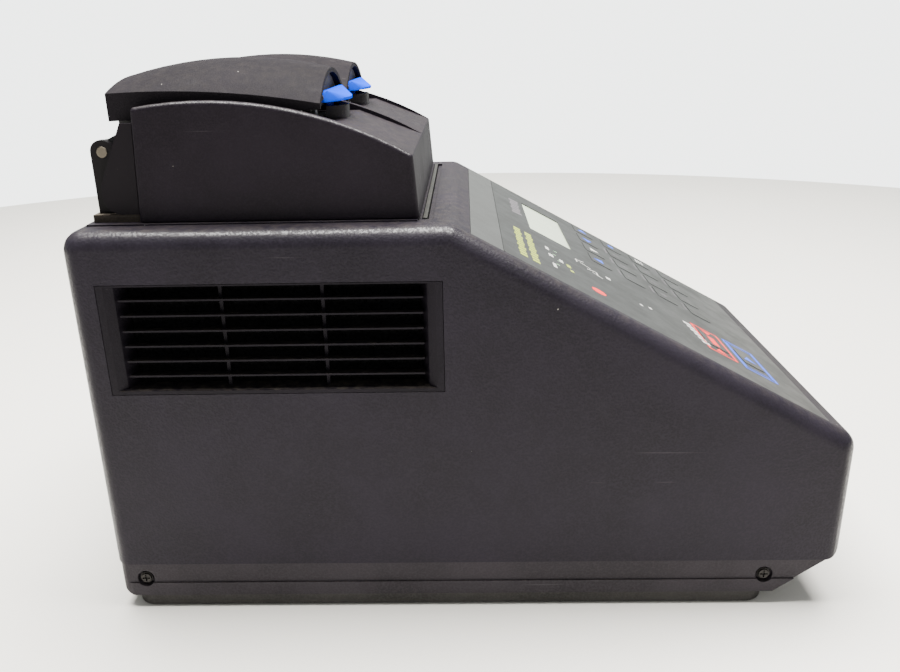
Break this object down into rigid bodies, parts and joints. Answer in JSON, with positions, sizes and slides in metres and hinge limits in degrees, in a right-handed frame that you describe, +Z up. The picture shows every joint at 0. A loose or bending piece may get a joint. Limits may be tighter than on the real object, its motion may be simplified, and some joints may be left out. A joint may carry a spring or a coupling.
{
  "type": "thermal cycler",
  "caption": "Benchtop thermal cycler: wedge-shaped case with sloping keypad and display, side vents, and a lift-out sample module with hinged arched lids and latches.",
  "frame": {"origin": "on the bench, under the middle of the case in plan", "axes": "+Z up; +X to the right seen from the front; the nose with the control panel faces -Y"},
  "size_m": [0.24, 0.41, 0.3],
  "materials": {
    "base_plastic": "fine grain, satin",
    "pan_plastic": "matt",
    "foot_rubber": "matt",
    "screw_steel": "blackened",
    "case_plastic": "moulded grain, satin",
    "grille_plastic": "satin",
    "overlay_film": "printed film",
    "strip_film": "printed film",
    "display_window": "clear over a pale green display",
    "display_body": "circuit board",
    "circuit_board": "solder mask",
    "led_lens": "tinted lens",
    "supply_case": "folded sheet",
    "back_sheet": "powder coat",
    "entry_plastic": "moulded",
    "connector_shell": "plated",
    "shelf_steel": "zinc plated",
    "fan_plastic": "moulded",
    "rotor_plastic": "moulded",
    "rocker_plastic": "moulded",
    "frame_casting": "dusty casting",
    "sink_aluminium": "extruded",
    "tile_ceramic": "ceramic",
    "block_silver": "machined",
    "cover_plastic": "moulded grain, satin",
    "side_plate_paint": "satin paint",
    "bracket_paint": "satin paint",
    "pin_metal": "worn",
    "lid_plastic": "speckled grain, satin",
    "lid_frame_plastic": "satin",
    "platen_aluminium": "machined",
    "latch_blue": "moulded, satin",
    "bar_film": "moulded",
    "key_film": "embossed film",
    "key_film_blue": "embossed film",
    "key_film_pale": "embossed film",
    "key_film_red": "embossed film"
  },
  "bodies": {
    "case": {"base_housing": "base_plastic", "bottom_pan": "pan_plastic", "rubber_feet": "foot_rubber", "case_screws": "screw_steel", "case_shell": "case_plastic", "left_vent_grille": "grille_plastic", "right_vent_grille": "grille_plastic", "control_overlay": "overlay_film", "panel_strip": "strip_film", "lcd_window": "display_window", "lcd_module": "display_body", "key_board": "circuit_board", "status_leds": "led_lens", "main_board": "circuit_board", "power_supply": "supply_case", "rear_panel": "back_sheet", "power_entry": "entry_plastic", "serial_port": "connector_shell", "fan_shelf": "shelf_steel", "fan_frame": "fan_plastic"},
    "fan": {"fan_rotor": "rotor_plastic"},
    "rocker": {"power_rocker": "rocker_plastic"},
    "module": {"module_frame": "frame_casting", "heat_sink": "sink_aluminium", "peltier_tiles": "tile_ceramic", "left_sample_block": "block_silver", "right_sample_block": "block_silver", "left_module_cover": "cover_plastic", "right_module_cover": "cover_plastic", "rear_side_plates": "side_plate_paint", "hinge_brackets": "bracket_paint", "hinge_pins": "pin_metal"},
    "lock_bar": {"lock_bar": "bar_film"},
    "left_lid": {"left_lid_shell": "lid_plastic", "left_lid_frame": "lid_frame_plastic"},
    "left_platen": {"left_lid_platen": "platen_aluminium"},
    "left_latch_tab": {"left_latch": "latch_blue"},
    "right_lid": {"right_lid_shell": "lid_plastic", "right_lid_frame": "lid_frame_plastic"},
    "right_platen": {"right_lid_platen": "platen_aluminium"},
    "right_latch_tab": {"right_latch": "latch_blue"},
    "key_up": {"key_up": "key_film_blue"},
    "key_down": {"key_down": "key_film_pale"},
    "key_left": {"key_left": "key_film_blue"},
    "key_right": {"key_right": "key_film_blue"},
    "key_7": {"key_7": "key_film"},
    "key_8": {"key_8": "key_film"},
    "key_9": {"key_9": "key_film"},
    "key_exit": {"key_exit": "key_film"},
    "key_4": {"key_4": "key_film"},
    "key_5": {"key_5": "key_film"},
    "key_6": {"key_6": "key_film"},
    "key_menu": {"key_menu": "key_film"},
    "key_1": {"key_1": "key_film"},
    "key_2": {"key_2": "key_film"},
    "key_3": {"key_3": "key_film"},
    "key_0": {"key_0": "key_film"},
    "key_start": {"key_start": "key_film_blue"},
    "key_stop": {"key_stop": "key_film_red"}
  },
  "joints": [
    {"name": "fan_spin", "type": "hinge", "parent": "case", "child": "fan", "pos_m": [0, 0.097, 0.105], "axis": [0, 0, 1], "continuous": true},
    {"name": "rocker_tilt", "type": "hinge", "parent": "case", "child": "rocker", "pos_m": [0.06, 0.1994, 0.0883], "axis": [-1, 0, 0], "range_deg": [0, 15]},
    {"name": "module_lift", "type": "slide", "parent": "case", "child": "module", "axis": [0, 0, 1], "range_m": [0, 0.09]},
    {"name": "lock_bar_lift", "type": "slide", "parent": "module", "child": "lock_bar", "axis": [0, 0, 1], "range_m": [0, 0.008]},
    {"name": "left_lid_hinge", "type": "hinge", "parent": "module", "child": "left_lid", "pos_m": [-0.049, 0.1854, 0.2566], "axis": [-1, 0, 0], "range_deg": [0, 80]},
    {"name": "left_platen_float", "type": "slide", "parent": "left_lid", "child": "left_platen", "axis": [0, 0, 1], "range_m": [0, 0.0035], "stiffness_N_per_m": 1500, "springref_m": -0.002},
    {"name": "left_latch_lift", "type": "hinge", "parent": "left_lid", "child": "left_latch_tab", "pos_m": [-0.049, 0.0756, 0.2802], "axis": [-1, 0, 0], "range_deg": [0, 25], "stiffness_Nm_per_rad": 0.05, "springref_deg": -5.73},
    {"name": "right_lid_hinge", "type": "hinge", "parent": "module", "child": "right_lid", "pos_m": [0.049, 0.1854, 0.2566], "axis": [-1, 0, 0], "range_deg": [0, 80]},
    {"name": "right_platen_float", "type": "slide", "parent": "right_lid", "child": "right_platen", "axis": [0, 0, 1], "range_m": [0, 0.0035], "stiffness_N_per_m": 1500, "springref_m": -0.002},
    {"name": "right_latch_lift", "type": "hinge", "parent": "right_lid", "child": "right_latch_tab", "pos_m": [0.049, 0.0756, 0.2802], "axis": [-1, 0, 0], "range_deg": [0, 25], "stiffness_Nm_per_rad": 0.05, "springref_deg": -5.73},
    {"name": "key_up_press", "type": "slide", "parent": "case", "child": "key_up", "axis": [0, 0.4833, -0.8755], "range_m": [0, 0.0005], "stiffness_N_per_m": 1500, "springref_m": -0.0003},
    {"name": "key_down_press", "type": "slide", "parent": "case", "child": "key_down", "axis": [0, 0.4833, -0.8755], "range_m": [0, 0.0005], "stiffness_N_per_m": 1500, "springref_m": -0.0003},
    {"name": "key_left_press", "type": "slide", "parent": "case", "child": "key_left", "axis": [0, 0.4833, -0.8755], "range_m": [0, 0.0005], "stiffness_N_per_m": 1500, "springref_m": -0.0003},
    {"name": "key_right_press", "type": "slide", "parent": "case", "child": "key_right", "axis": [0, 0.4833, -0.8755], "range_m": [0, 0.0005], "stiffness_N_per_m": 1500, "springref_m": -0.0003},
    {"name": "key_7_press", "type": "slide", "parent": "case", "child": "key_7", "axis": [0, 0.4833, -0.8755], "range_m": [0, 0.0005], "stiffness_N_per_m": 1500, "springref_m": -0.0003},
    {"name": "key_8_press", "type": "slide", "parent": "case", "child": "key_8", "axis": [0, 0.4833, -0.8755], "range_m": [0, 0.0005], "stiffness_N_per_m": 1500, "springref_m": -0.0003},
    {"name": "key_9_press", "type": "slide", "parent": "case", "child": "key_9", "axis": [0, 0.4833, -0.8755], "range_m": [0, 0.0005], "stiffness_N_per_m": 1500, "springref_m": -0.0003},
    {"name": "key_exit_press", "type": "slide", "parent": "case", "child": "key_exit", "axis": [0, 0.4833, -0.8755], "range_m": [0, 0.0005], "stiffness_N_per_m": 1500, "springref_m": -0.0003},
    {"name": "key_4_press", "type": "slide", "parent": "case", "child": "key_4", "axis": [0, 0.4833, -0.8755], "range_m": [0, 0.0005], "stiffness_N_per_m": 1500, "springref_m": -0.0003},
    {"name": "key_5_press", "type": "slide", "parent": "case", "child": "key_5", "axis": [0, 0.4833, -0.8755], "range_m": [0, 0.0005], "stiffness_N_per_m": 1500, "springref_m": -0.0003},
    {"name": "key_6_press", "type": "slide", "parent": "case", "child": "key_6", "axis": [0, 0.4833, -0.8755], "range_m": [0, 0.0005], "stiffness_N_per_m": 1500, "springref_m": -0.0003},
    {"name": "key_menu_press", "type": "slide", "parent": "case", "child": "key_menu", "axis": [0, 0.4833, -0.8755], "range_m": [0, 0.0005], "stiffness_N_per_m": 1500, "springref_m": -0.0003},
    {"name": "key_1_press", "type": "slide", "parent": "case", "child": "key_1", "axis": [0, 0.4833, -0.8755], "range_m": [0, 0.0005], "stiffness_N_per_m": 1500, "springref_m": -0.0003},
    {"name": "key_2_press", "type": "slide", "parent": "case", "child": "key_2", "axis": [0, 0.4833, -0.8755], "range_m": [0, 0.0005], "stiffness_N_per_m": 1500, "springref_m": -0.0003},
    {"name": "key_3_press", "type": "slide", "parent": "case", "child": "key_3", "axis": [0, 0.4833, -0.8755], "range_m": [0, 0.0005], "stiffness_N_per_m": 1500, "springref_m": -0.0003},
    {"name": "key_0_press", "type": "slide", "parent": "case", "child": "key_0", "axis": [0, 0.4833, -0.8755], "range_m": [0, 0.0005], "stiffness_N_per_m": 1500, "springref_m": -0.0003},
    {"name": "key_start_press", "type": "slide", "parent": "case", "child": "key_start", "axis": [0, 0.4833, -0.8755], "range_m": [0, 0.0005], "stiffness_N_per_m": 1500, "springref_m": -0.0003},
    {"name": "key_stop_press", "type": "slide", "parent": "case", "child": "key_stop", "axis": [0, 0.4833, -0.8755], "range_m": [0, 0.0005], "stiffness_N_per_m": 1500, "springref_m": -0.0003}
  ]
}
